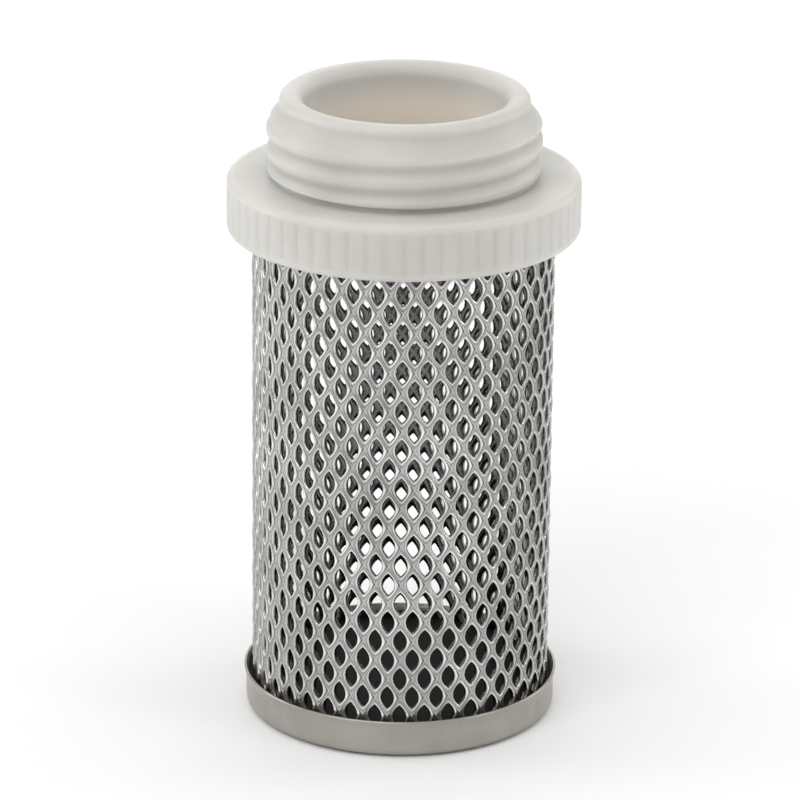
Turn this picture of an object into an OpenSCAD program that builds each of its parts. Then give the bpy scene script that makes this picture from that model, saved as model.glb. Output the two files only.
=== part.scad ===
// Foot valve for the end of a suction hose: a moulded neck with a male hose thread, a sprung check
// valve inside it, and a basket of expanded stainless sheet closed by a pressed cup.
// Millimetres, +Z up, origin at the centre of the cup's underside.

/* [Neck] */
// Overall height, from the cup's underside to the rim of the neck
total_h = 63.2; // [58:0.1:80]
// Largest diameter of the male thread
thread_d = 26.8; // [26:0.1:30]
// Thread pitch, 11.5 turns per inch
thread_pitch = 2.209; // [2.15:0.001:2.4]
// Depth of the thread, crest to root
thread_depth = 1.35; // [1.2:0.05:1.4]
// Step from the thread's root out to the plain pilot above it
pilot_step = 0.1; // [0.05:0.05:0.3]
// Length of the plain pilot, rim included
pilot_h = 1.8; // [1.4:0.1:3]
// Height of the spigot above the collar
spigot_h = 8.2; // [8:0.1:14]
// Bore through the neck
bore_d = 19.6; // [16:0.1:20]
// Edge radius of the rim
rim_edge = 0.8; // [0.3:0.05:1]

/* [Collar] */
// Wall of the collar outside the slot for the mesh
collar_wall = 2.29; // [1.8:0.01:6]
// Collar height
collar_h = 5.6; // [5.4:0.1:10]
// Edge radius of the collar
collar_edge = 0.75; // [0.2:0.05:1.2]
// Number of grip flutes round the collar
flute_count = 60; // [24:1:72]
// Depth of a grip flute
flute_depth = 0.12; // [0.06:0.02:0.3]
// Height of the undercut between the thread and the collar
undercut_h = 0.9; // [0.5:0.1:1.2]

/* [Basket] */
// Outer diameter of the mesh tube
mesh_d = 29.76; // [29:0.01:36]
// Wall of the mesh tube
mesh_wall = 0.7; // [0.5:0.05:1]
// Openings in one row round the tube
mesh_columns = 19; // [12:1:24]
// Distance between openings along a column
mesh_long_pitch = 7.9; // [6:0.1:12]
// Width of the bond between two openings of one row
bond_w = 1.72; // [1.4:0.02:2]
// Height of the bond between two openings of one column
bond_h = 2; // [1.4:0.1:3]
// Depth of the slot in the collar that holds the mesh
mesh_insert = 2.6; // [1.5:0.1:4]
// Number of spot welds down the mesh seam
weld_count = 6; // [3:1:6]

/* [Cup] */
// Gap between the mesh tube and the cup's wall
cup_gap = 0.13; // [0.08:0.01:0.5]
// Flare of the rim beyond the cup's wall
cup_flare = 0.21; // [0.1:0.01:0.6]
// Height of the cup
cup_h = 3.77; // [3:0.01:8]
// Sheet thickness of the cup
cup_wall = 0.4; // [0.3:0.05:0.6]
// Outer radius of the cup's lower corner
cup_corner = 0.6; // [0.5:0.05:1.5]
// Depth of the potting compound in the cup
potting_h = 2.7; // [1.6:0.1:6]

/* [Check valve] */
// Gap for water between the poppet's disc and the bore
flow_gap = 1.9; // [1.4:0.1:2.4]
// Overlap of the poppet's disc on the seat ring
seat_overlap = 1.1; // [0.8:0.1:1.6]
// Diameter of the poppet's stem
stem_d = 2.4; // [2:0.1:3]
// Lift of the poppet
lift = 2.8; // [1:0.1:3.6]
// Shoulder in the neck that the seat ring stands against
seat_shoulder = 1.5; // [1:0.1:1.8]
// Height of the seat ring
seat_h = 2.5; // [2:0.1:3]
// Thickness of the seal under the disc
seal_h = 0.85; // [0.6:0.05:1.2]
// Thickness of the guide spider
spider_t = 0.8; // [0.6:0.05:1.2]
// Arms of the guide spider
spider_arms = 3; // [3:1:5]
// Thickness of the retaining ring
ring_t = 0.8; // [0.6:0.05:1]
// Wire diameter of the spring
wire_d = 0.4; // [0.3:0.05:0.5]
// Turns of the spring, closed ends included
spring_turns = 5; // [4:1:6]

/* [Hidden] */
$fn = 96;
EPS = 0.01;

// clearances between pieces
fit_gap = 0.05;
slot_gap = 0.08;
spring_gap = 0.4;

// heights, from the rim down
collar_top = total_h - spigot_h;
collar_bottom = collar_top - collar_h;
undercut_top = collar_top + undercut_h;
thread_top = total_h - pilot_h;

// radii of the neck
crest_r = thread_d / 2;
root_r = crest_r - thread_depth;
pilot_r = root_r + pilot_step;
bore_r = bore_d / 2;

// radii and heights of the basket and the cup
mesh_r = mesh_d / 2;
mesh_inner_r = mesh_r - mesh_wall;
mesh_bottom = cup_wall + 0.8;
mesh_turn = 360 / mesh_columns;
mesh_start = mesh_turn / 4 - 90;
row_step = mesh_long_pitch / 2;
opening_w = 2 * PI * mesh_r / mesh_columns - bond_w;
opening_h = mesh_long_pitch - bond_h;
potting_top = cup_wall + potting_h;
collar_r = mesh_r + slot_gap + collar_wall;
cup_r = mesh_r + cup_gap + cup_wall;
cup_rim_r = cup_r + cup_flare;

// the valve's stack, from the shoulder in the neck down
chamber_r = bore_r + seat_shoulder;
disc_r = bore_r - flow_gap;
seat_r = disc_r - seat_overlap;
seal_w = 2.7;
seat_top = collar_top - 0.6;
seat_bottom = seat_top - seat_h;
seat_middle = seat_top - seat_h / 2;
spider_bottom = seat_bottom - spider_t;
ring_bottom = spider_bottom - ring_t;
ring_groove = 0.7;
o_ring_w = 0.95;
o_ring_groove_h = 1.3;

// the stem, its bush and its spring
stem_r = stem_d / 2;
bush_wall = 0.7;
bush_r = stem_r + bush_wall;
bush_flange_r = bush_r + 0.9;
hub_r = bush_r + 1.1;
wire_r = wire_d / 2;
spring_r = bush_r + spring_gap + wire_r;
spring_h = lift + spring_turns * wire_d + spring_gap;
washer_t = 0.4;
clip_t = 0.4;
clip_groove = 0.35;
washer_top = spider_bottom - spring_h;
washer_bottom = washer_top - washer_t;
clip_bottom = washer_bottom - clip_t;
stem_bottom = clip_bottom - 0.2;

// points of a quarter arc, centre (x, z), from angle a0 to a1
function arc(x, z, r, a0, a1, steps = 6) =
    [for (i = [0 : steps]) let (a = a0 + (a1 - a0) * i / steps) [x + r * cos(a), z + r * sin(a)]];

// centre height of the groove at a turn angle; the groove climbs one pitch per turn
groove_start = undercut_top - 0.66;
groove_step = 10;
groove_end = groove_step * floor(360 / groove_step * (thread_top + 0.9 - groove_start) / thread_pitch);
function groove_z(a) = groove_start + thread_pitch * a / 360;

module ring(outer_r, inner_r, z0, z1) {
    translate([0, 0, z0])
        difference() {
            cylinder(r = outer_r, h = z1 - z0);
            translate([0, 0, -EPS]) cylinder(r = inner_r, h = z1 - z0 + 2 * EPS);
        }
}

// helical V groove with a flat root, cut into the spigot; its root rises where the thread runs out
module thread_groove(first, last) {
    root_half = thread_pitch / 16;
    reach = 0.2;
    outer_half = root_half + (thread_depth + reach) * tan(30);
    run_out = 60;
    run_out_rise = 0.4;
    section_points = [for (a = [first : groove_step : last])
        let (z = groove_z(a), rise = max(0, (a - last + run_out) / run_out) * run_out_rise)
        for (p = [
            [crest_r + reach, -outer_half], [root_r + rise, -root_half],
            [root_r + rise, root_half], [crest_r + reach, outer_half]
        ]) [p[0] * cos(a - 90), p[0] * sin(a - 90), z + p[1]]];
    n = len(section_points) / 4;
    sides = [for (i = [0 : n - 2], k = [0 : 3])
        let (a = 4 * i + k, b = 4 * i + (k + 1) % 4)
        for (t = [[a, b + 4, b], [a, a + 4, b + 4]]) t];
    last_ring = 4 * n - 4;
    ends = [[0, 1, 2, 3], [last_ring + 3, last_ring + 2, last_ring + 1, last_ring]];
    polyhedron(points = section_points, faces = concat(sides, ends));
}

module neck_profile() {
    shoulder_r = crest_r - pilot_r;
    undercut_r = root_r - 0.1;
    polygon(concat(
        [[bore_r, seat_top], [chamber_r, seat_top], [chamber_r, collar_bottom]],
        arc(collar_r - collar_edge, collar_bottom + collar_edge, collar_edge, -90, 0),
        arc(collar_r - collar_edge, collar_top - collar_edge, collar_edge, 0, 90),
        [[undercut_r, collar_top], [undercut_r, undercut_top - 0.3], [undercut_r + 0.3, undercut_top]],
        [[crest_r, undercut_top], [crest_r, thread_top - shoulder_r], [pilot_r, thread_top]],
        arc(pilot_r - rim_edge, total_h - rim_edge, rim_edge, 0, 90),
        arc(bore_r + rim_edge, total_h - rim_edge, rim_edge, 90, 180)
    ));
}

module neck_body() {
    flute_r = 0.6;
    color("#e4e3de")
    difference() {
        rotate_extrude() neck_profile();
        thread_groove(-40, groove_end);
        // slot that takes the top of the mesh
        translate([0, 0, collar_bottom - EPS])
            ring(mesh_r + slot_gap, mesh_inner_r - slot_gap, 0, mesh_insert + slot_gap + EPS);
        // groove for the retaining ring
        ring(chamber_r + ring_groove, chamber_r - 0.5, ring_bottom - slot_gap, spider_bottom + slot_gap);
        // grip flutes
        for (i = [0 : flute_count - 1])
            rotate([0, 0, 360 / flute_count * i])
                translate([collar_r + flute_r - flute_depth, 0, collar_bottom - 1])
                    cylinder(r = flute_r, h = collar_h + 2, $fn = 24);
    }
}

module seat_ring() {
    outer_r = chamber_r - fit_gap;
    groove_r = outer_r - o_ring_w;
    groove_bottom = seat_middle - o_ring_groove_h / 2;
    groove_top = seat_middle + o_ring_groove_h / 2;
    color("#d9d6cc")
    rotate_extrude()
        polygon([
            [seat_r + 0.5, seat_bottom], [outer_r, seat_bottom], [outer_r, groove_bottom],
            [groove_r, groove_bottom], [groove_r, groove_top], [outer_r, groove_top],
            [outer_r, seat_top], [seat_r, seat_top], [seat_r, seat_middle]
        ]);
}

module seat_o_ring() {
    cord_r = (o_ring_w + fit_gap) / 2;
    color("#1c1c1c")
    translate([0, 0, seat_middle])
        rotate_extrude() translate([chamber_r - cord_r, 0]) circle(r = cord_r - EPS, $fn = 32);
}

module guide_spider() {
    rim_r = chamber_r - fit_gap;
    rim_w = 2.2;
    arm_w = 1.6;
    color("#b9babb")
    translate([0, 0, spider_bottom])
        linear_extrude(spider_t)
            difference() {
                union() {
                    difference() {
                        circle(r = rim_r);
                        circle(r = rim_r - rim_w);
                    }
                    circle(r = hub_r);
                    for (i = [0 : spider_arms - 1])
                        rotate(360 / spider_arms * i + 30)
                            translate([0, -arm_w / 2]) square([rim_r - rim_w / 2, arm_w]);
                }
                circle(r = bush_r);
            }
}

module guide_bush() {
    hole_r = stem_r + fit_gap;
    foot = spider_bottom - 0.5;
    flange_top = seat_bottom + 0.6;
    color("#c9a35a")
    rotate_extrude()
        polygon([
            [hole_r, foot], [bush_r, foot], [bush_r, seat_bottom],
            [bush_flange_r, seat_bottom], [bush_flange_r, flange_top], [hole_r, flange_top]
        ]);
}

// internal circlip with two lugs for pliers
module retaining_ring() {
    outer_r = chamber_r + ring_groove - 0.1;
    inner_r = chamber_r - 1;
    lug_r = 1.3;
    lug_turn = 14;
    gap_turn = 8;
    far = 2 * outer_r;
    color("#8f9092")
    translate([0, 0, ring_bottom])
        linear_extrude(ring_t)
            difference() {
                union() {
                    difference() {
                        circle(r = outer_r);
                        circle(r = inner_r);
                    }
                    for (side = [-1, 1])
                        rotate(90 + lug_turn * side) translate([inner_r - 0.4, 0]) circle(r = lug_r);
                }
                polygon([[0, 0], [-tan(gap_turn) * far, far], [tan(gap_turn) * far, far]]);
                for (side = [-1, 1])
                    rotate(90 + lug_turn * side) translate([inner_r - 0.6, 0]) circle(r = 0.5, $fn = 24);
            }
}

// disc on a stem; a lip below the disc holds the seal, a groove near the foot holds the clip
module poppet() {
    neck_r = disc_r - seal_w;
    lip_r = neck_r + 0.5;
    lip_top = seat_top - fit_gap;
    lip_bottom = seat_top - 0.7;
    disc_bottom = seat_top + seal_h;
    color("#3f6f9c")
    rotate_extrude()
        polygon([
            [0, stem_bottom], [stem_r - 0.2, stem_bottom], [stem_r, clip_bottom],
            [stem_r - clip_groove, clip_bottom], [stem_r - clip_groove, washer_bottom],
            [stem_r, washer_bottom], [stem_r, lip_bottom - 0.6], [stem_r + 0.8, lip_bottom],
            [lip_r - 0.4, lip_bottom], [lip_r, lip_bottom + 0.4], [lip_r, lip_top],
            [neck_r, lip_top], [neck_r, disc_bottom], [disc_r, disc_bottom],
            [disc_r, disc_bottom + 0.45], [disc_r - 0.3, disc_bottom + 0.65], [0, disc_bottom + 0.95]
        ]);
}

module poppet_seal() {
    color("#202020")
    ring(disc_r, disc_r - seal_w, seat_top, seat_top + seal_h);
}

// compression spring with a closed turn at each end
module poppet_spring() {
    sides = 8;
    steps = 16;
    low = washer_top + wire_r;
    rise = spring_h - wire_d;
    function height(t) = t < 1 ? wire_d * t
        : t > spring_turns - 1 ? rise - wire_d * (spring_turns - t)
        : wire_d + (rise - 2 * wire_d) * (t - 1) / (spring_turns - 2);
    count = spring_turns * steps;
    coil_points = [for (i = [0 : count], k = [0 : sides - 1])
        let (t = i / steps, a = 360 * t, r = spring_r + wire_r * cos(360 * k / sides))
        [r * cos(a), r * sin(a), low + height(t) + wire_r * sin(360 * k / sides)]];
    coil_sides = [for (i = [0 : count - 1], k = [0 : sides - 1])
        let (a = sides * i + k, b = sides * i + (k + 1) % sides)
        for (t = [[a, b + sides, a + sides], [a, b, b + sides]]) t];
    first_end = [for (k = [sides - 1 : -1 : 0]) k];
    last_end = [for (k = [0 : sides - 1]) sides * count + k];
    color("#b4b6b8")
    polyhedron(points = coil_points, faces = concat(coil_sides, [first_end, last_end]));
}

module spring_washer() {
    color("#b4b6b8")
    ring(spring_r + wire_d, stem_r + fit_gap, washer_bottom, washer_top);
}

// open clip pushed into the stem's groove
module stem_clip() {
    color("#8f9092")
    translate([0, 0, clip_bottom])
        linear_extrude(clip_t)
            difference() {
                circle(r = stem_r + 1);
                circle(r = stem_r - clip_groove + fit_gap);
                translate([0, -stem_r * 0.7]) square([stem_r + 2, stem_r * 1.4]);
            }
}

// lens-shaped opening with short flat sides, drawn upright
module opening() {
    a = opening_w / 2;
    b = opening_h / 2;
    flat = b * 0.32;
    polygon([[0, b], [-a, flat], [-a, -flat], [0, -b], [a, -flat], [a, flat]]);
}

// one row of openings round the tube, every other row turned by half a step
module opening_row(row) {
    reach = 2;
    for (column = [0 : mesh_columns - 1])
        rotate([0, 0, mesh_start + mesh_turn * (column + (row % 2) / 2)])
            translate([mesh_r - reach, 0, collar_bottom - row_step * (row + 0.5)])
                rotate([90, 0, 90]) linear_extrude(2 * reach) opening();
}

module mesh_tube() {
    rows = floor((collar_bottom - potting_top) / row_step);
    color("#a9a8a5")
    difference() {
        ring(mesh_r, mesh_inner_r, mesh_bottom, collar_bottom + mesh_insert);
        for (row = [0 : rows - 1]) opening_row(row);
    }
}

// weld nuggets down the seam at the back, each on a bond between two openings of an even row
module seam_welds() {
    seam_turn = mesh_start + mesh_turn * (floor(mesh_columns / 2) + 0.5);
    color("#8d8a84")
    for (i = [0 : weld_count - 1])
        rotate([0, 0, seam_turn])
            translate([mesh_r - EPS, 0, collar_bottom - row_step * (2 * i + 0.5)])
                rotate([0, 90, 0]) cylinder(r1 = 0.45, r2 = 0.25, h = 0.2, $fn = 24);
}

module bottom_cup() {
    inner_r = cup_r - cup_wall;
    flare_bottom = cup_h - 0.6;
    color("#a49f98")
    rotate_extrude()
        polygon(concat(
            [[0, cup_wall], [0, 0]],
            arc(cup_r - cup_corner, cup_corner, cup_corner, -90, 0),
            [[cup_r, flare_bottom], [cup_rim_r, cup_h - 0.15], [cup_rim_r, cup_h]],
            [[cup_rim_r - cup_wall, cup_h], [inner_r, flare_bottom]],
            [[inner_r, cup_corner], [cup_r - cup_corner, cup_wall]]
        ));
}

module cup_potting() {
    r = cup_r - cup_wall;
    corner = cup_corner - cup_wall;
    color("#26241f")
    difference() {
        translate([0, 0, cup_wall]) rotate_extrude()
            polygon([[0, 0], [r - corner, 0], [r, corner], [r, potting_h], [0, potting_h]]);
        ring(mesh_r + fit_gap, mesh_inner_r - fit_gap, mesh_bottom - fit_gap, potting_top + 1);
    }
}

neck_body();
seat_ring();
seat_o_ring();
guide_spider();
guide_bush();
retaining_ring();
poppet();
poppet_seal();
poppet_spring();
spring_washer();
stem_clip();
mesh_tube();
seam_welds();
bottom_cup();
cup_potting();
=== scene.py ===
import math

import bmesh
import bpy
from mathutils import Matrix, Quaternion, Vector


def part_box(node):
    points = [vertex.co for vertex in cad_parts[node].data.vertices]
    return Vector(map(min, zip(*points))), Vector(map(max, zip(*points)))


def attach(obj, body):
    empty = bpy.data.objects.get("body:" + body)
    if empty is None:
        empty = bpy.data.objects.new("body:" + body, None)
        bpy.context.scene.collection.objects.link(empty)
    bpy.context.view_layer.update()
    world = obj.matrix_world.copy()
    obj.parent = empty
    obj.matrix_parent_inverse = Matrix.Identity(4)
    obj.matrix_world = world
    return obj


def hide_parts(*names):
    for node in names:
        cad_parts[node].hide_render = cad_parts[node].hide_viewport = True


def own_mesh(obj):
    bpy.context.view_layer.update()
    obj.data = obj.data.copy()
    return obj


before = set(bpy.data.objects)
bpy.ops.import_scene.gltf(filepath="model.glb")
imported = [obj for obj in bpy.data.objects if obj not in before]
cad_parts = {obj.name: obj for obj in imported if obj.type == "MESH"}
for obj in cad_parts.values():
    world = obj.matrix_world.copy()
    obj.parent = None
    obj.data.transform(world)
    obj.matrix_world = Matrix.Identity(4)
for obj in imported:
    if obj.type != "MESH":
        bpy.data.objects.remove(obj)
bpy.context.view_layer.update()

scene = bpy.context.scene
mm = 0.001
print("frame loaded")


# A socket of a node tree that can be used in sums like a number.
class Wire:
    def __init__(self, tree, socket):
        self.tree = tree
        self.socket = socket

    def make(self, kind, settings, inputs, output=0):
        node = self.tree.nodes.new(kind)
        for name, value in settings.items():
            setattr(node, name, value)
        for name, value in inputs.items():
            feed(self.tree, node.inputs[name], value)
        return Wire(self.tree, node.outputs[output])

    def calc(self, operation, *values):
        return self.make("ShaderNodeMath", {"operation": operation}, dict(enumerate(values)))

    def __add__(self, other):
        return self.calc("ADD", self, other)

    def __radd__(self, other):
        return self.calc("ADD", other, self)

    def __sub__(self, other):
        return self.calc("SUBTRACT", self, other)

    def __rsub__(self, other):
        return self.calc("SUBTRACT", other, self)

    def __mul__(self, other):
        return self.calc("MULTIPLY", self, other)

    def __rmul__(self, other):
        return self.calc("MULTIPLY", other, self)

    def __truediv__(self, other):
        return self.calc("DIVIDE", self, other)

    def __pow__(self, other):
        return self.calc("POWER", self, other)

    def within(self, low, high):
        return self.calc("MINIMUM", self.calc("MAXIMUM", self, low), high)

    # rises smoothly from 0 to 1 as the value goes from low to high
    def between(self, low, high):
        inputs = {"Value": self, "From Min": low, "From Max": high}
        return self.make("ShaderNodeMapRange", {"interpolation_type": "SMOOTHSTEP"}, inputs)

    def mixColour(self, first, second):
        settings = {"data_type": "RGBA"}
        return self.make("ShaderNodeMix", settings, {0: self, 6: first, 7: second}, 2)

    def parts(self):
        split = self.make("ShaderNodeSeparateXYZ", {}, {"Vector": self})
        return [Wire(self.tree, output) for output in split.socket.node.outputs]


# Links a wire to a socket, or sets the socket's own value.
def feed(tree, socket, value):
    if isinstance(value, Wire):
        tree.links.new(value.socket, socket)
    elif isinstance(value, tuple) and len(value) == 3 and socket.type == "RGBA":
        socket.default_value = (*value, 1)
    else:
        socket.default_value = value


# Materials. Each finish has its own numbers; patterns read Object coordinates in metres.

def newFinish(name, constants):
    material = bpy.data.materials.new(name)
    material.use_nodes = True
    tree = material.node_tree
    shader = tree.nodes["Principled BSDF"]
    for socket, value in constants.items():
        feed(tree, shader.inputs[socket], value)
    place = Wire(tree, tree.nodes.new("ShaderNodeTexCoord").outputs["Object"])
    return material, tree, shader, place


def noise(place, scale, detail=3, rough=0.5, stretch=(1, 1, 1)):
    mapped = place.make("ShaderNodeMapping", {}, {"Vector": place, "Scale": stretch})
    inputs = {"Vector": mapped, "Scale": scale, "Detail": detail, "Roughness": rough}
    return place.make("ShaderNodeTexNoise", {}, inputs)


def addBump(tree, shader, height, strength, distance):
    inputs = {"Strength": strength, "Distance": distance, "Height": height}
    feed(tree, shader.inputs["Normal"], height.make("ShaderNodeBump", {}, inputs))


# The moulded nylon lets light through; down the bore a warmer, brighter colour is painted in as painted
# light, for light passed through the wall and bounced round the bore.
nylonLook = {
    "light": (0.6, 0.592, 0.562), "dark": (0.53, 0.515, 0.476), "inside": (0.9, 0.82, 0.69),
    "roughness": 0.42, "grain": 900, "cloud": 90, "flow": 260, "bump": 0.15,
    "boreRadius": (0.0096, 0.0108), "boreHeight": (0.0585, 0.063),
    "shader": {
        "Subsurface Weight": 0.85, "Subsurface Scale": 0.0022, "Subsurface Radius": (1, 0.92, 0.84),
        "IOR": 1.5, "Specular IOR Level": 0.45,
    },
}


def makeNylon(look):
    material, tree, shader, place = newFinish("nylon", look["shader"])
    cloud = noise(place, look["cloud"]).between(0.35, 0.7)
    grain = noise(place, look["grain"], 4)
    flow = noise(place, look["flow"], 2, stretch=(1, 1, 0.15))
    x, y, z = place.parts()
    radius = x.calc("SQRT", x * x + y * y)
    # painted light: below the lip of the bore the colour turns warmer and brighter, standing in for light
    # through the nylon
    paintedBoreMask = (1 - radius.between(*look["boreRadius"])) * (1 - z.between(*look["boreHeight"]))
    skin = (cloud * 0.7 + flow * 0.3).mixColour(look["light"], look["dark"])
    feed(tree, shader.inputs["Base Color"], paintedBoreMask.mixColour(skin, look["inside"]))
    feed(tree, shader.inputs["Roughness"], look["roughness"] + (grain - 0.5) * 0.16)
    addBump(tree, shader, grain * 0.7 + flow * 0.6, look["bump"], 0.0002)
    return material


# Bare metals. Stretch draws the streaks out upright; shadow is the colour of painted shade, where the painted
# shading is 0.
steelLooks = {
    "meshSteel": {
        "light": (0.98, 0.97, 0.95), "dark": (0.62, 0.61, 0.58), "shadow": (0.012, 0.011, 0.01),
        "roughness": 0.22, "bump": 0.3, "stretch": 0.25,
    },
    "cupSteel": {
        "light": (0.44, 0.42, 0.385), "dark": (0.34, 0.32, 0.29),
        "roughness": 0.32, "bump": 0.12, "stretch": 0.06,
    },
    "wireSteel": {
        "light": (0.66, 0.66, 0.67), "dark": (0.5, 0.5, 0.5),
        "roughness": 0.26, "bump": 0.1, "stretch": 1,
    },
    "weldSteel": {
        "light": (0.5, 0.45, 0.4), "dark": (0.3, 0.24, 0.22),
        "roughness": 0.4, "bump": 0.4, "stretch": 1,
    },
}


def makeSteel(name, look):
    material, tree, shader, place = newFinish(name, {"Metallic": 1.0})
    cloud = noise(place, 160).between(0.3, 0.75)
    streaks = noise(place, 700, 4, 0.6, (1, 1, look["stretch"]))
    grain = noise(place, 2600, 2)
    colour = (cloud * 0.6 + streaks * 0.4).mixColour(look["light"], look["dark"])
    # painted light and shade: a per-point attribute of the basket darkens the metal towards the near-black
    # painted shadow in the opening walls and in a line beside each rolled edge, and leaves the rolled edges
    # bright as painted highlights
    if "shadow" in look:
        tone = place.make("ShaderNodeAttribute", {"attribute_name": "tone"}, {}, 2)
        colour = (tone.within(0.0, 1.0) ** 2).mixColour(look["shadow"], colour)
    roughness = look["roughness"] + (streaks - 0.5) * 0.2 + (grain - 0.5) * 0.1
    feed(tree, shader.inputs["Base Color"], colour)
    feed(tree, shader.inputs["Roughness"], roughness)
    addBump(tree, shader, streaks * 0.6 + grain * 0.4, look["bump"], 0.0001)
    return material


plainLooks = {
    "acetal": {
        "light": (0.82, 0.81, 0.77), "dark": (0.76, 0.75, 0.7),
        "roughness": 0.4, "bump": 0.1, "metallic": 0.0,
    },
    "blueAcetal": {
        "light": (0.07, 0.2, 0.42), "dark": (0.05, 0.15, 0.33),
        "roughness": 0.38, "bump": 0.12, "metallic": 0.0,
    },
    "rubber": {
        "light": (0.022, 0.022, 0.022), "dark": (0.035, 0.034, 0.033),
        "roughness": 0.6, "bump": 0.3, "metallic": 0.0,
    },
    "brass": {
        "light": (0.8, 0.6, 0.3), "dark": (0.68, 0.49, 0.22),
        "roughness": 0.28, "bump": 0.1, "metallic": 1.0,
    },
    "potting": {
        "light": (0.004, 0.0035, 0.003), "dark": (0.009, 0.008, 0.007),
        "roughness": 0.75, "bump": 0.2, "metallic": 0.0,
    },
}


def makePlain(name, look):
    material, tree, shader, place = newFinish(name, {"Metallic": look["metallic"]})
    cloud = noise(place, 240).between(0.3, 0.75)
    grain = noise(place, 1800, 4)
    feed(tree, shader.inputs["Base Color"], cloud.mixColour(look["light"], look["dark"]))
    feed(tree, shader.inputs["Roughness"], look["roughness"] + (grain - 0.5) * 0.2)
    addBump(tree, shader, grain, look["bump"], 0.0001)
    return material


finishes = {"nylon": makeNylon(nylonLook)}
for name, look in steelLooks.items():
    finishes[name] = makeSteel(name, look)
for name, look in plainLooks.items():
    finishes[name] = makePlain(name, look)
print("materials made")


# Mesh helpers

def newObject(name, mesh, material=None):
    piece = bpy.data.objects.new(name, mesh)
    scene.collection.objects.link(piece)
    if material:
        mesh.materials.append(material)
    return piece


# Turns a closed outline of (radius, height, marks) about Z. A point at radius 0 becomes a pole.
def lathe(name, outline, segments, material, marks=()):
    form = bmesh.new()
    layers = [form.verts.layers.float.new(mark) for mark in marks]
    rings = []
    for radius, height, *values in outline:
        count = 1 if radius == 0 else segments
        ring = []
        for i in range(count):
            angle = 2 * math.pi * i / segments
            vert = form.verts.new((radius * math.cos(angle), radius * math.sin(angle), height))
            for layer, value in zip(layers, values):
                vert[layer] = value
            ring.append(vert)
        rings.append(ring)
    for k, ring in enumerate(rings):
        after = rings[(k + 1) % len(rings)]
        if len(ring) == 1 and len(after) == 1:
            continue
        for i in range(segments):
            j = (i + 1) % segments
            corners = [ring[i % len(ring)], ring[j % len(ring)]]
            corners += [after[j % len(after)], after[i % len(after)]]
            form.faces.new(list(dict.fromkeys(corners)))
    bmesh.ops.recalc_face_normals(form, faces=form.faces)
    for face in form.faces:
        face.smooth = True
    mesh = bpy.data.meshes.new(name)
    form.to_mesh(mesh)
    form.free()
    return newObject(name, mesh, material)


# Points of an arc round (x, z), angles in degrees
def arc(x, z, radius, start, end, steps):
    points = []
    for i in range(steps + 1):
        angle = math.radians(start + (end - start) * i / steps)
        points.append((x + radius * math.cos(angle), z + radius * math.sin(angle)))
    return points


# Puts extra points along a straight run, ends included.
def run(start, end, count):
    return [tuple(a + (b - a) * i / count for a, b in zip(start, end)) for i in range(count + 1)]


# Starts a node tree that has a named input for each size.
def newTree(name, sizes):
    tree = bpy.data.node_groups.new(name, "GeometryNodeTree")
    face = tree.interface
    face.new_socket("Geometry", in_out="INPUT", socket_type="NodeSocketGeometry")
    for label, value in sizes.items():
        kind = "NodeSocketInt" if isinstance(value, int) else "NodeSocketFloat"
        face.new_socket(label, in_out="INPUT", socket_type=kind)
    face.new_socket("Material", in_out="INPUT", socket_type="NodeSocketMaterial")
    face.new_socket("Geometry", in_out="OUTPUT", socket_type="NodeSocketGeometry")
    start = tree.nodes.new("NodeGroupInput")
    wires = {socket.name: Wire(tree, socket) for socket in start.outputs if socket.name}
    return tree, wires


# Ends the tree, runs it on the piece and keeps the result as the piece's own plain mesh.
def growMesh(piece, tree, wires, geometry, sizes, material):
    smooth = geometry.make("GeometryNodeSetShadeSmooth", {}, {"Geometry": geometry})
    real = geometry.make("GeometryNodeRealizeInstances", {}, {"Geometry": smooth})
    done = geometry.make("GeometryNodeSetMaterial", {}, {"Geometry": real, "Material": wires["Material"]})
    end = tree.nodes.new("NodeGroupOutput")
    tree.links.new(done.socket, end.inputs["Geometry"])
    modifier = piece.modifiers.new(tree.name, "NODES")
    modifier.node_group = tree
    values = dict(sizes, Material=material)
    for item in tree.interface.items_tree:
        if item.in_out == "INPUT" and item.name in values:
            modifier[item.identifier] = values[item.name]
    graph = bpy.context.evaluated_depsgraph_get()
    mesh = bpy.data.meshes.new_from_object(piece.evaluated_get(graph))
    mesh.name = piece.name
    piece.modifiers.remove(modifier)
    piece.data = mesh
    return piece


# Puts a piece on its body and in the place of its CAD node.
def assign(piece, body, node):
    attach(piece, body)
    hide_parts(node)


# Neck: a turned blank, whose thread and grip flutes are cut by a node tree.

neckLow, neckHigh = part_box("neck_body")
meshLow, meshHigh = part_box("mesh_tube")
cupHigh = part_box("bottom_cup")[1]
pottingLow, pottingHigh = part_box("cup_potting")
seatLow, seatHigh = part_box("seat_ring")
spiderLow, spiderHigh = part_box("guide_spider")

neckSizes = {
    "spigotHeight": 8.2 * mm, "undercut": 0.5 * mm, "neck": 12.85 * mm,
    "crest": 13.4 * mm, "root": 12.98 * mm, "pitch": 2.209 * mm, "firstCrest": 0.24 * mm,
    "pilot": 12.15 * mm, "pilotHeight": 1.8 * mm,
    "bore": 9.8 * mm, "boreLip": 1.3 * mm, "rimEdge": 0.8 * mm, "chamber": 11.3 * mm,
    "grooveDepth": 0.7 * mm, "grooveRise": 0.08 * mm, "grooveDrop": 0.88 * mm,
    "collarEdge": 0.8 * mm, "flutes": 60, "fluteDepth": 0.11 * mm,
    "slotInner": 13.8 * mm, "slotOuter": 14.97 * mm, "slotDepth": 2.68 * mm, "cornerBreak": 0.15 * mm,
    "segments": 480,
}


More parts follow.
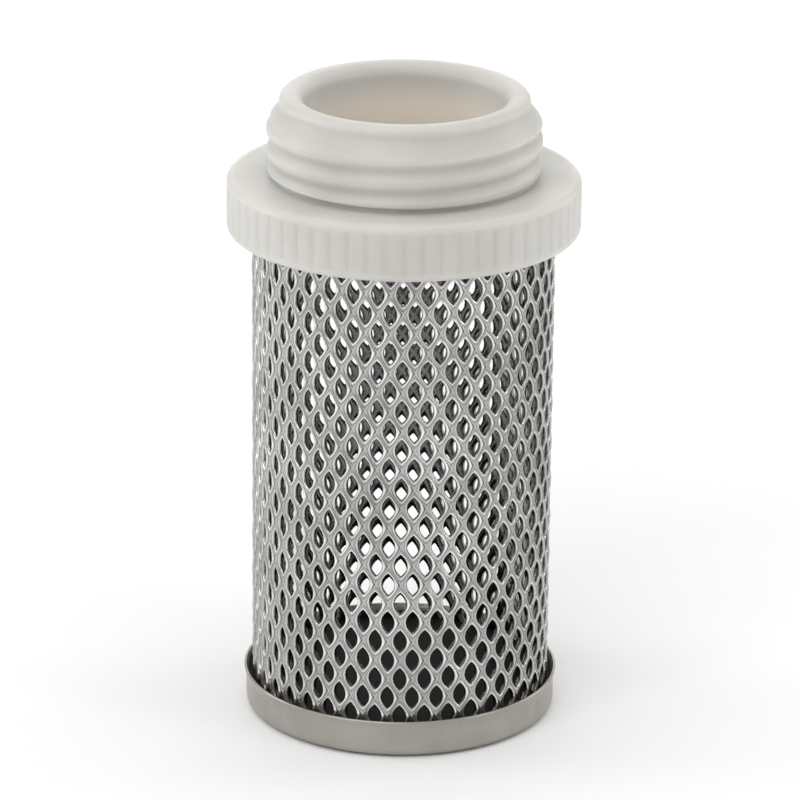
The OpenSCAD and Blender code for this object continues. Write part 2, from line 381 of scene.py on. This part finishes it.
def makeNeck(size):
    top = neckHigh.z
    bottom = neckLow.z
    collarTop = top - size["spigotHeight"]
    undercutTop = collarTop + size["undercut"]
    threadTop = top - size["pilotHeight"]
    crestRadius = size["crest"]
    pilot = size["pilot"]
    shoulder = crestRadius - pilot
    collar = neckHigh.x
    edge = size["collarEdge"]
    rim = size["rimEdge"]
    neckRadius = size["neck"]
    bore = size["bore"]
    lip = size["boreLip"]
    chamber = size["chamber"]
    groove = chamber + size["grooveDepth"]
    grooveTop = spiderLow.z + size["grooveRise"]
    grooveFoot = spiderLow.z - size["grooveDrop"]
    inner = size["slotInner"]
    outer = size["slotOuter"]
    slotTop = bottom + size["slotDepth"]
    corner = size["cornerBreak"]
    plain = (0, 0)
    threaded = (1, 0)
    fluted = (0, 1)
    fading = (0, 0.5)

    def tagged(points, marks):
        return [(r, z, *marks) for r, z in points]

    outline = []
    # underside, from the chamber out past the slot that holds the basket
    outline += tagged([(chamber + corner, bottom)], plain)
    outline += tagged(run((chamber + 0.4 * mm, bottom), (inner - 0.1 * mm, bottom), 3), plain)
    outline += tagged([(inner, bottom + 0.1 * mm), (inner, slotTop), (outer, slotTop)], plain)
    outline += tagged([(outer, bottom + corner), (outer + corner, bottom)], plain)
    # collar
    outline += tagged(arc(collar - edge, bottom + edge, edge, -90, -8, 7), plain)
    side = run((collar, bottom + edge), (collar, collarTop - edge), 12)
    outline += tagged(side[:1], fading) + tagged(side[1:-1], fluted) + tagged(side[-1:], fading)
    outline += tagged(arc(collar - edge, collarTop - edge, edge, 8, 90, 7), plain)
    flat = run((collar - edge - 0.6 * mm, collarTop), (neckRadius + 0.5 * mm, collarTop), 4)
    outline += tagged(flat, plain)
    # half-round undercut, then the spigot
    hollow = (size["undercut"] - 0.06 * mm) / 2
    outline += tagged(arc(neckRadius + hollow, collarTop + hollow, hollow, 262, 98, 10), plain)
    foot = crestRadius - 0.12 * mm
    outline += tagged([(foot - 0.08 * mm, undercutTop), (foot, undercutTop + 0.04 * mm)], threaded)
    wall = run((crestRadius, undercutTop + 0.15 * mm), (crestRadius, threadTop - shoulder), 44)
    outline += tagged(wall, threaded)
    # the thread fades out as the wall draws in to the pilot
    for i in range(1, 15):
        t = i / 15
        ease = (t + t * t * (3 - 2 * t)) / 2
        height = threadTop - shoulder + (shoulder + 0.7 * mm) * t
        outline.append((crestRadius - shoulder * ease, height, 1 - ease, 0))
    outline += tagged(run((pilot, threadTop + 0.75 * mm), (pilot, top - rim), 2), plain)
    outline += tagged(arc(pilot - rim, top - rim, rim, 12, 90, 8), plain)
    for i in range(11):
        turn = math.pi / 2 * i / 10
        outline.append((bore + lip * (1 - math.sin(turn)), top - lip * (1 - math.cos(turn)), *plain))
    # bore and valve chamber, with the groove of the retaining ring
    outline += tagged(run((bore, top - lip - 0.3 * mm), (bore, seatHigh.z + 0.05 * mm), 10), plain)
    outline += tagged([(bore + 0.05 * mm, seatHigh.z), (chamber, seatHigh.z)], plain)
    outline += tagged([(chamber, spiderHigh.z), (chamber, grooveTop), (groove, grooveTop)], plain)
    outline += tagged([(groove, grooveFoot), (chamber, grooveFoot), (chamber, bottom + corner)], plain)

    blank = lathe("neckShell", outline, size["segments"], None, ("threadZone", "gripZone"))
    sizes = {
        "Pitch": size["pitch"], "Root": size["root"], "Depth": crestRadius - size["root"],
        "Crest Height": undercutTop + size["firstCrest"], "Flutes": size["flutes"],
        "Flute Depth": size["fluteDepth"],
    }
    tree, wires = newTree("threadAndFlutes", sizes)
    spot = wires["Pitch"].make("GeometryNodeInputPosition", {}, {})
    x, y, z = spot.parts()
    turn = y.calc("ARCTAN2", y, x)
    radius = x.calc("SQRT", x * x + y * y)
    # the crest passes the front, at a quarter turn back, at the height given
    phase = x.calc("FRACT", (z - wires["Crest Height"]) / wires["Pitch"] - turn / math.tau - 0.25 + 10.5)
    away = x.calc("ABSOLUTE", phase - 0.5) * 2
    crest = 1 - away.between(0.15, 1.0)
    named = {"data_type": "FLOAT"}
    threadZone = x.make("GeometryNodeInputNamedAttribute", named, {"Name": "threadZone"})
    gripZone = x.make("GeometryNodeInputNamedAttribute", named, {"Name": "gripZone"})
    threadRadius = wires["Root"] + wires["Depth"] * crest
    cut = (radius - x.calc("MINIMUM", radius, threadRadius)) * threadZone
    wave = (x.calc("COSINE", turn * wires["Flutes"]) + 1) * 0.5
    flute = wave ** 3 * gripZone * wires["Flute Depth"]
    share = (radius - cut - flute) / radius
    moved = x.make("ShaderNodeCombineXYZ", {}, {"X": x * share, "Y": y * share, "Z": z})
    shaped = x.make("GeometryNodeSetPosition", {}, {"Geometry": wires["Geometry"], "Position": moved})
    return growMesh(blank, tree, wires, shaped, sizes, finishes["nylon"])


neck = makeNeck(neckSizes)
assign(neck, "housing", "neck_body")
print("neck made")


# Basket: one opening with its share of the strands, repeated by a node tree and wrapped round.

basketSizes = {
    "columns": 38, "rows": 28, "halfPitch": 1.975 * mm, "firstRow": 1.975 * mm, "thickness": 0.66 * mm,
    "openingWidth": 1.22 * mm, "openingHeight": 2.34 * mm, "round": 0.26 * mm, "tilt": 0.14 * mm,
    "pinch": 0.12, "point": 2.1, "unevenness": 0.05 * mm, "waves": 420.0,
}


# Rings of the tile from the inside of the tube to the outside: how far each lies from the
# opening's edge, as a share of the rounding (outer means the tile's border), its depth, and its
# painted shading at the opening's left and right. The rolled edge right of an opening is wide and painted
# bright as a highlight, and a painted dark line of shade parts it from the face; the left edge is painted a
# little duller and runs into the face. The rings inside the tube are painted in shade.
def tileRings(half, bend):
    return [
        ("outer", -half, 0.6, 0.6), (0.15, -half + bend * 0.3, 0.5, 0.5), (0, half - bend * 0.9, 0.32, 0.5),
        (0.45, half, 0.95, 1.05), (1.15, half - 0.07 * mm, 0.62, 0.9), (1.8, half - 0.08 * mm, 0.7, 0.22),
        ("outer", half - 0.02 * mm, 0.8, 0.8),
    ]


def makeTile(size, pitch):
    half = size["thickness"] / 2
    width = size["openingWidth"] / 2
    height = size["openingHeight"] / 2
    steps = 4
    quarter = []
    for i in range(steps + 1):
        turn = math.pi / 2 * i / steps
        rise = math.sin(turn) * (1 - size["pinch"] * math.sin(2 * turn))
        border = (pitch / 2 * (1 - i / steps), size["halfPitch"] * i / steps)
        quarter.append((width * (1 - rise ** size["point"]), height * rise, *border))
    spots = quarter[:-1]
    spots += [(-x, y, -outX, outY) for x, y, outX, outY in quarter[:0:-1]]
    spots += [(-x, -y, -outX, -outY) for x, y, outX, outY in quarter[:-1]]
    spots += [(x, -y, outX, -outY) for x, y, outX, outY in quarter[:0:-1]]
    form = bmesh.new()
    paintedShadingLayer = form.verts.layers.float.new("tone")
    rings = []
    for level, depth, leftPaintedShading, rightPaintedShading in tileRings(half, size["round"]):
        ring = []
        for x, y, outX, outY in spots:
            reach = math.hypot(outX - x, outY - y)
            share = 1 if level == "outer" else min(0.25 + 0.34 * level, level * size["round"] / reach)
            side = x / width * (1 - share)
            lean = size["tilt"] * side
            vert = form.verts.new((x + (outX - x) * share, y + (outY - y) * share, depth + lean))
            # painted shading runs from the left value to the right one across the opening, so the right side
            # carries the painted highlight
            right = (0.5 + 0.5 * x / width) ** 2
            vert[paintedShadingLayer] = leftPaintedShading + (rightPaintedShading - leftPaintedShading) * right
            ring.append(vert)
        rings.append(ring)
    count = len(spots)
    for lower, upper in zip(rings, rings[1:]):
        for i in range(count):
            j = (i + 1) % count
            form.faces.new((lower[i], lower[j], upper[j], upper[i]))
    mesh = bpy.data.meshes.new("openingTile")
    form.to_mesh(mesh)
    form.free()
    return newObject("openingTile", mesh)


def makeBasket(size):
    outerRadius = meshHigh.x
    radius = outerRadius - size["thickness"] / 2 - size["tilt"] - size["unevenness"] / 2
    pitch = math.tau * radius / size["columns"]
    tile = makeTile(size, pitch)
    top = neckLow.z - size["firstRow"] + 3 * size["halfPitch"]
    sizes = {
        "Columns": size["columns"], "Rows": size["rows"], "Pitch": pitch, "Half Pitch": size["halfPitch"],
        "Radius": radius, "Top Row": top, "Unevenness": size["unevenness"],
    }
    tree, wires = newTree("expandedTube", sizes)
    index = wires["Pitch"].make("GeometryNodeInputIndex", {}, {})
    column = index.calc("FLOOR", (index + 0.5) / wires["Rows"])
    row = index - column * wires["Rows"]
    shift = row.calc("FRACT", (row + 1) / 2)
    start = index.make("ShaderNodeCombineXYZ", {}, {
        "X": (column + shift) * wires["Pitch"], "Y": wires["Top Row"] - row * wires["Half Pitch"],
    })
    count = wires["Columns"] * wires["Rows"]
    points = index.make("GeometryNodePoints", {}, {"Count": count, "Position": start})
    tileShape = index.make("GeometryNodeObjectInfo", {}, {"Object": tile}, "Geometry")
    spread = index.make("GeometryNodeInstanceOnPoints", {}, {"Points": points, "Instance": tileShape})
    flat = index.make("GeometryNodeRealizeInstances", {}, {"Geometry": spread})
    spot = index.make("GeometryNodeInputPosition", {}, {})
    x, y, z = spot.parts()
    turn = x / wires["Radius"] - math.pi / 2
    reach = wires["Radius"] + z
    wrapped = x.make("ShaderNodeCombineXYZ", {}, {
        "X": reach * x.calc("COSINE", turn), "Y": reach * x.calc("SINE", turn), "Z": y,
    })
    rolled = x.make("GeometryNodeSetPosition", {}, {"Geometry": flat, "Position": wrapped})
    joined = x.make("GeometryNodeMergeByDistance", {}, {"Geometry": rolled, "Distance": 0.01 * mm})
    wobble = x.make("ShaderNodeTexNoise", {}, {"Vector": spot, "Scale": size["waves"], "Detail": 1.0})
    share = (wobble - 0.5) * wires["Unevenness"] / wires["Radius"]
    drift = x.make("ShaderNodeCombineXYZ", {}, {"X": x * share, "Y": y * share})
    uneven = x.make("GeometryNodeSetPosition", {}, {"Geometry": joined, "Offset": drift})
    holder = newObject("basketMesh", bpy.data.meshes.new("basketMesh"))
    growMesh(holder, tree, wires, uneven, sizes, finishes["meshSteel"])
    bpy.data.objects.remove(tile)
    # guillotine both ends square, inside the collar and in the potting
    form = bmesh.new()
    form.from_mesh(holder.data)
    for height, normal in ((meshHigh.z, (0, 0, 1)), (meshLow.z, (0, 0, -1))):
        parts = form.verts[:] + form.edges[:] + form.faces[:]
        bmesh.ops.bisect_plane(form, geom=parts, plane_co=(0, 0, height), plane_no=normal, clear_outer=True)
        rim = [e for e in form.edges if e.is_boundary and abs(e.verts[0].co.z - height) < 0.001 * mm]
        bmesh.ops.holes_fill(form, edges=rim, sides=0)
    bmesh.ops.recalc_face_normals(form, faces=form.faces)
    form.to_mesh(holder.data)
    form.free()
    return holder


basket = makeBasket(basketSizes)
assign(basket, "housing", "mesh_tube")
print("basket made,", len(basket.data.polygons), "faces")


# Cup: pressed sheet with a flared rim

cupSizes = {"sheet": 0.4 * mm, "corner": 0.7 * mm, "flare": 0.55 * mm, "wall": 15.41 * mm, "segments": 256}


def makeCup(size):
    rim = cupHigh.x
    top = cupHigh.z
    wall = size["wall"]
    sheet = size["sheet"]
    corner = size["corner"]
    # base, dished up a little in the middle, then the wall, the flared lip and the inside
    outline = [(0, 0.06 * mm), (3 * mm, 0.05 * mm), (7 * mm, 0.03 * mm), (11 * mm, 0.0)]
    outline += [(wall - corner - 1 * mm, 0.0)]
    outline += arc(wall - corner, corner, corner, -90, 0, 9)
    outline += run((wall, corner + 0.3 * mm), (wall, top - size["flare"] - 0.4 * mm), 4)
    outline += [(wall + (rim - wall) * 0.35, top - size["flare"]), (rim - 0.03 * mm, top - 0.2 * mm)]
    outline += arc(rim - sheet * 0.35, top - sheet * 0.35, sheet * 0.35, 0, 180, 6)
    outline += [(rim - sheet, top - 0.25 * mm), (wall - sheet * 0.7, top - size["flare"])]
    outline += run((wall - sheet, top - size["flare"] - 0.4 * mm), (wall - sheet, corner + 0.1 * mm), 3)
    outline += arc(wall - corner, corner, corner - sheet, 0, -90, 5)
    outline += [(11 * mm, sheet), (0, sheet + 0.06 * mm)]
    return lathe("cupShell", outline, size["segments"], finishes["cupSteel"])


cup = makeCup(cupSizes)
assign(cup, "housing", "bottom_cup")


# Potting compound, with the low meniscus it leaves along the cup's wall

pottingSizes = {
    "gap": 0.02 * mm, "lift": 0.08 * mm, "corner": 0.6 * mm, "sag": 0.3 * mm, "middle": 3 * mm,
    "segments": 128,
}


def makePotting(size):
    outer = pottingHigh.x - size["gap"]
    top = pottingHigh.z
    bottom = pottingLow.z + size["lift"]
    corner = size["corner"]
    sunk = top - size["sag"]
    outline = [(0, bottom), (outer - corner - 0.1 * mm, bottom)]
    outline += arc(outer - corner, bottom + corner, corner, -80, 0, 4)
    outline += [(outer, top), (outer - 0.12 * mm, top - 0.12 * mm), (outer - 0.4 * mm, top - 0.24 * mm)]
    outline += run((outer - 2 * mm, top - 0.22 * mm), (size["middle"], sunk), 6) + [(0, sunk)]
    return lathe("pottingFill", outline, size["segments"], finishes["potting"])


assign(makePotting(pottingSizes), "housing", "cup_potting")
print("cup made")


# Inside the neck: turned and moulded pieces with their edges broken

washerLow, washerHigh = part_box("spring_washer")
clipLow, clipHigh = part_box("stem_clip")
sealLow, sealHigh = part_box("poppet_seal")
poppetLow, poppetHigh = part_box("poppet")
bushLow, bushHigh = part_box("guide_bush")


# Replaces each corner of a closed outline by a small curve; a corner on the axis stays.
def breakEdges(corners, edge, steps=3):
    outline = []
    for i, corner in enumerate(corners):
        if corner[0] == 0:
            outline.append(corner)
            continue
        ends = []
        for other in (corners[i - 1], corners[(i + 1) % len(corners)]):
            share = min(edge / math.dist(corner, other), 0.4)
            ends.append([c + (o - c) * share for c, o in zip(corner, other)])
        for step in range(steps + 1):
            t = step / steps
            weights = ((1 - t) ** 2, 2 * t * (1 - t), t ** 2)
            points = (ends[0], corner, ends[1])
            outline.append(tuple(sum(w * p[k] for w, p in zip(weights, points)) for k in (0, 1)))
    return outline


poppetSizes = {
    "stem": 1.2 * mm, "groove": 0.35 * mm, "lip": 0.5 * mm, "sealWidth": 2.7 * mm, "edge": 0.15 * mm,
    "dish": 0.25 * mm, "clearance": 0.05 * mm, "segments": 96,
}


def makePoppet(size):
    stem = size["stem"]
    disc = poppetHigh.x
    neckRadius = disc - size["sealWidth"]
    lip = neckRadius + size["lip"]
    lipTop = sealLow.z - size["clearance"]
    lipFoot = sealLow.z - 0.7 * mm
    back = sealHigh.z
    crown = poppetHigh.z
    corners = [(0, poppetLow.z), (stem - 0.2 * mm, poppetLow.z), (stem, clipLow.z)]
    corners += [(stem - size["groove"], clipLow.z), (stem - size["groove"], clipHigh.z), (stem, clipHigh.z)]
    corners += [(stem, lipFoot - 0.6 * mm), (stem + 0.8 * mm, lipFoot), (lip - 0.4 * mm, lipFoot)]
    corners += [(lip, lipFoot + 0.4 * mm), (lip, lipTop), (neckRadius, lipTop), (neckRadius, back)]
    corners += [(disc, back), (disc, back + 0.45 * mm), (disc - 0.3 * mm, back + 0.65 * mm)]
    # shallow dish round a raised boss
    corners += [(disc - 1.6 * mm, back + 0.72 * mm), (disc - 2 * mm, back + 0.72 * mm - size["dish"])]
    corners += [(2.4 * mm, crown - 0.15 * mm - size["dish"]), (2 * mm, crown), (0, crown)]
    outline = breakEdges(corners, size["edge"])
    return lathe("poppetDisc", outline, size["segments"], finishes["blueAcetal"])


seatSizes = {
    "width": 4.45 * mm, "groove": 0.95 * mm, "grooveHalf": 0.65 * mm, "edge": 0.12 * mm, "segments": 128,
}


def makeSeat(size):
    outer = seatHigh.x
    inner = outer - size["width"]
    low = seatLow.z
    high = seatHigh.z
    middle = (low + high) / 2
    corners = [(inner + 0.5 * mm, low), (outer, low), (outer, middle - size["grooveHalf"])]
    corners += [(outer - size["groove"], middle - size["grooveHalf"])]
    corners += [(outer - size["groove"], middle + size["grooveHalf"]), (outer, middle + size["grooveHalf"])]
    corners += [(outer, high), (inner, high), (inner, middle)]
    return lathe("seatRing", breakEdges(corners, size["edge"]), size["segments"], finishes["acetal"])


# A turned ring of rectangular section, as wide and as high as its node, with broken edges
def makeRing(name, hole, low, high, edge, finish):
    corners = [(hole, low.z), (high.x, low.z), (high.x, high.z), (hole, high.z)]
    return lathe(name, breakEdges(corners, edge), 96, finishes[finish])


def makeCordRing():
    ringLow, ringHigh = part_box("seat_o_ring")
    cord = (ringHigh.z - ringLow.z) / 2
    outline = arc(ringHigh.x - cord, (ringLow.z + ringHigh.z) / 2, cord, 0, 345, 23)
    return lathe("oRing", outline, 128, finishes["rubber"])


bushSizes = {"wall": 0.65 * mm, "edge": 0.12 * mm, "segments": 64}


def makeBush(size, hole):
    barrel = hole + size["wall"]
    corners = [(hole, bushLow.z), (barrel, bushLow.z), (barrel, seatLow.z), (bushHigh.x, seatLow.z)]
    corners += [(bushHigh.x, bushHigh.z), (hole, bushHigh.z)]
    return lathe("guideBush", breakEdges(corners, size["edge"]), size["segments"], finishes["brass"])


sealHole = sealHigh.x - poppetSizes["sealWidth"]
stemHole = poppetSizes["stem"] + poppetSizes["clearance"]
sealRing = makeRing("sealRing", sealHole, sealLow, sealHigh, 0.15 * mm, "rubber")
washer = makeRing("washer", stemHole, washerLow, washerHigh, 0.06 * mm, "wireSteel")
assign(makePoppet(poppetSizes), "poppet", "poppet")
assign(sealRing, "poppet", "poppet_seal")
assign(washer, "poppet", "spring_washer")
assign(makeSeat(seatSizes), "housing", "seat_ring")
assign(makeCordRing(), "housing", "seat_o_ring")
assign(makeBush(bushSizes, stemHole), "housing", "guide_bush")
print("valve made")


# Spring: a node tree winds the wire round a spiral with a closed turn at each end.

springSizes = {"turns": 5, "steps": 32, "sides": 12, "wire": 0.4 * mm}


def makeSpring(size):
    springLow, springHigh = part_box("poppet_spring")
    sizes = {
        "Turns": size["turns"], "Steps": size["steps"], "Sides": size["sides"], "Wire": size["wire"],
        "Radius": springHigh.x - size["wire"] / 2, "Foot": springLow.z + size["wire"] / 2,
        "Rise": springHigh.z - springLow.z - size["wire"],
    }
    tree, wires = newTree("coilSpring", sizes)
    count = wires["Turns"] * wires["Steps"]
    line = count.make("GeometryNodeCurvePrimitiveLine", {}, {})
    path = count.make("GeometryNodeResampleCurve", {}, {"Curve": line, "Count": count + 1})
    turned = count.make("GeometryNodeInputIndex", {}, {}) / wires["Steps"]
    closed = turned.calc("MINIMUM", turned, 1.0) + turned.calc("MAXIMUM", turned - wires["Turns"] + 1, 0.0)
    sprung = turned.calc("MINIMUM", turned.calc("MAXIMUM", turned - 1, 0.0), wires["Turns"] - 2)
    climb = (wires["Rise"] - wires["Wire"] * 2) / (wires["Turns"] - 2)
    spot = turned.make("ShaderNodeCombineXYZ", {}, {
        "X": wires["Radius"] * turned.calc("COSINE", turned * math.tau),
        "Y": wires["Radius"] * turned.calc("SINE", turned * math.tau),
        "Z": wires["Foot"] + closed * wires["Wire"] + sprung * climb,
    })
    coil = turned.make("GeometryNodeSetPosition", {}, {"Geometry": path, "Position": spot})
    section = turned.make("GeometryNodeCurvePrimitiveCircle", {"mode": "RADIUS"}, {
        "Resolution": wires["Sides"], "Radius": wires["Wire"] / 2,
    })
    wound = turned.make("GeometryNodeCurveToMesh", {}, {
        "Curve": coil, "Profile Curve": section, "Fill Caps": True,
    })
    holder = newObject("springCoil", bpy.data.meshes.new("springCoil"))
    growMesh(holder, tree, wires, wound, sizes, finishes["wireSteel"])
    assign(holder, "housing", "poppet_spring")
    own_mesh(holder)


makeSpring(springSizes)


# Seam: spot welds on the strands down the back of the basket

weldSizes = {
    "count": 6, "spacing": 7.9 * mm, "radius": 0.5 * mm, "height": 0.2 * mm, "root": 0.25 * mm,
    "sunk": 0.02 * mm, "inset": 0.45 * mm, "spread": 0.25, "seed": 4,
}


def makeWelds(size):
    weldLow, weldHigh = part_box("seam_welds")
    low = -size["root"]
    outline = [(0, low), (size["radius"] * 0.9, low), (size["radius"], low * 0.5)]
    outline += [(size["radius"] * 0.95, 0), (size["radius"] * 0.7, size["height"] * 0.7)]
    outline += [(size["radius"] * 0.35, size["height"] * 0.95), (0, size["height"] * 0.8)]
    nugget = lathe("weldNugget", outline, 20, None)
    middle = (weldLow + weldHigh) / 2
    turn = math.atan2(middle.y, middle.x)
    radius = meshHigh.x - size["sunk"]
    sizes = {
        "Count": size["count"], "Spacing": size["spacing"], "Spread": size["spread"], "Seed": size["seed"],
        "Across": radius * math.cos(turn), "Back": radius * math.sin(turn), "Turn": turn,
        "Top": weldHigh.z - size["inset"],
    }
    tree, wires = newTree("weldSpots", sizes)
    index = wires["Top"].make("GeometryNodeInputIndex", {}, {})
    spot = index.make("ShaderNodeCombineXYZ", {}, {
        "X": wires["Across"], "Y": wires["Back"], "Z": wires["Top"] - index * wires["Spacing"],
    })
    points = index.make("GeometryNodePoints", {}, {"Count": wires["Count"], "Position": spot})
    shape = index.make("GeometryNodeObjectInfo", {}, {"Object": nugget}, "Geometry")
    facing = index.make("ShaderNodeCombineXYZ", {}, {"Y": math.pi / 2, "Z": wires["Turn"]})
    limits = {2: 1 - wires["Spread"], 3: 1.0, "Seed": wires["Seed"]}
    grow = index.make("FunctionNodeRandomValue", {"data_type": "FLOAT"}, limits, 1)
    scale = index.make("ShaderNodeCombineXYZ", {}, {"X": grow, "Y": grow, "Z": 1.0})
    laid = index.make("GeometryNodeInstanceOnPoints", {}, {
        "Points": points, "Instance": shape, "Rotation": facing, "Scale": scale,
    })
    holder = newObject("weldSpots", bpy.data.meshes.new("weldSpots"))
    growMesh(holder, tree, wires, laid, sizes, finishes["weldSteel"])
    bpy.data.objects.remove(nugget)
    assign(holder, "housing", "seam_welds")


makeWelds(weldSizes)
print("spring and welds made")


# Flat stampings keep their CAD shape.

stampings = ("guide_spider", "retaining_ring", "stem_clip")
for node in stampings:
    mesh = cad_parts[node].data
    mesh.materials.clear()
    mesh.materials.append(finishes["wireSteel"])


# Floor, light and camera

def makeStage():
    mesh = bpy.data.meshes.new("floor")
    reach = 3
    level = -0.15 * mm
    corners = [(-reach, -reach, level), (reach, -reach, level), (reach, reach, level), (-reach, reach, level)]
    mesh.from_pydata(corners, [], [(0, 1, 2, 3)])
    material, tree, shader, place = newFinish("paleFloor", {"Roughness": 0.7, "Specular IOR Level": 0.1})
    speck = noise(place, 60)
    feed(tree, shader.inputs["Base Color"], speck.mixColour((0.95, 0.95, 0.95), (0.93, 0.93, 0.93)))
    newObject("floor", mesh, material)


def addLight(name, spot, target, size, power):
    lamp = bpy.data.lights.new(name, "AREA")
    lamp.shape = "RECTANGLE"
    lamp.size, lamp.size_y = size
    lamp.energy = power
    holder = bpy.data.objects.new(name, lamp)
    scene.collection.objects.link(holder)
    holder.location = spot
    holder.rotation_euler = (Vector(target) - Vector(spot)).to_track_quat("-Z", "Y").to_euler()


lightSizes = {
    "topBox": ((0, 0, 0.7), (0.6, 0.6), 1.25),
    "frontBox": ((-0.2, -0.45, 0.5), (0.4, 0.3), 0.9),
    "leftBox": ((-0.6, 0.1, 0.22), (0.3, 0.4), 1.0),
    "rightBox": ((0.6, 0.25, 0.22), (0.3, 0.4), 0.8),
    "leftStrip": ((-0.42, -0.4, 0.2), (0.1, 0.5), 0.35),
    "rightStrip": ((0.5, -0.25, 0.16), (0.12, 0.5), 0.55),
    "backBox": ((0, 0.65, 0.3), (0.6, 0.4), 0.7),
}


lightTarget = (0, 0, 0.035)
skyLow = (0.42, 0.42, 0.42)
skyHigh = (0.6, 0.6, 0.6)


def makeLights():
    for name, (spot, size, power) in lightSizes.items():
        addLight(name, spot, lightTarget, size, power)
    world = bpy.data.worlds.new("studio")
    scene.world = world
    world.use_nodes = True
    tree = world.node_tree
    place = Wire(tree, tree.nodes.new("ShaderNodeTexCoord").outputs["Generated"])
    height = place.parts()[2]
    background = tree.nodes["Background"]
    feed(tree, background.inputs["Color"], height.between(-0.1, 0.9).mixColour(skyLow, skyHigh))
    background.inputs["Strength"].default_value = 1


cameraSizes = {
    "distance": 0.4872, "elevation": 19.81, "lens": 222.3, "height": 0.03161, "side": -0.00022, "roll": 0.518,
}


def makeCamera(size):
    data = bpy.data.cameras.new("camera")
    data.lens = size["lens"]
    data.sensor_width = 36
    data.clip_start = 0.01
    data.clip_end = 20
    holder = bpy.data.objects.new("camera", data)
    scene.collection.objects.link(holder)
    rise = math.radians(size["elevation"])
    holder.location = (
        size["side"], -size["distance"] * math.cos(rise), size["height"] + size["distance"] * math.sin(rise),
    )
    holder.rotation_mode = "QUATERNION"
    facing = Vector((0, math.cos(rise), -math.sin(rise))).to_track_quat("-Z", "Y")
    spin = Quaternion((0, 0, 1), math.radians(size["roll"]))
    holder.rotation_quaternion = facing @ spin
    scene.camera = holder


makeStage()
makeLights()
makeCamera(cameraSizes)
scene.view_settings.view_transform = "Standard"
print("stage set")
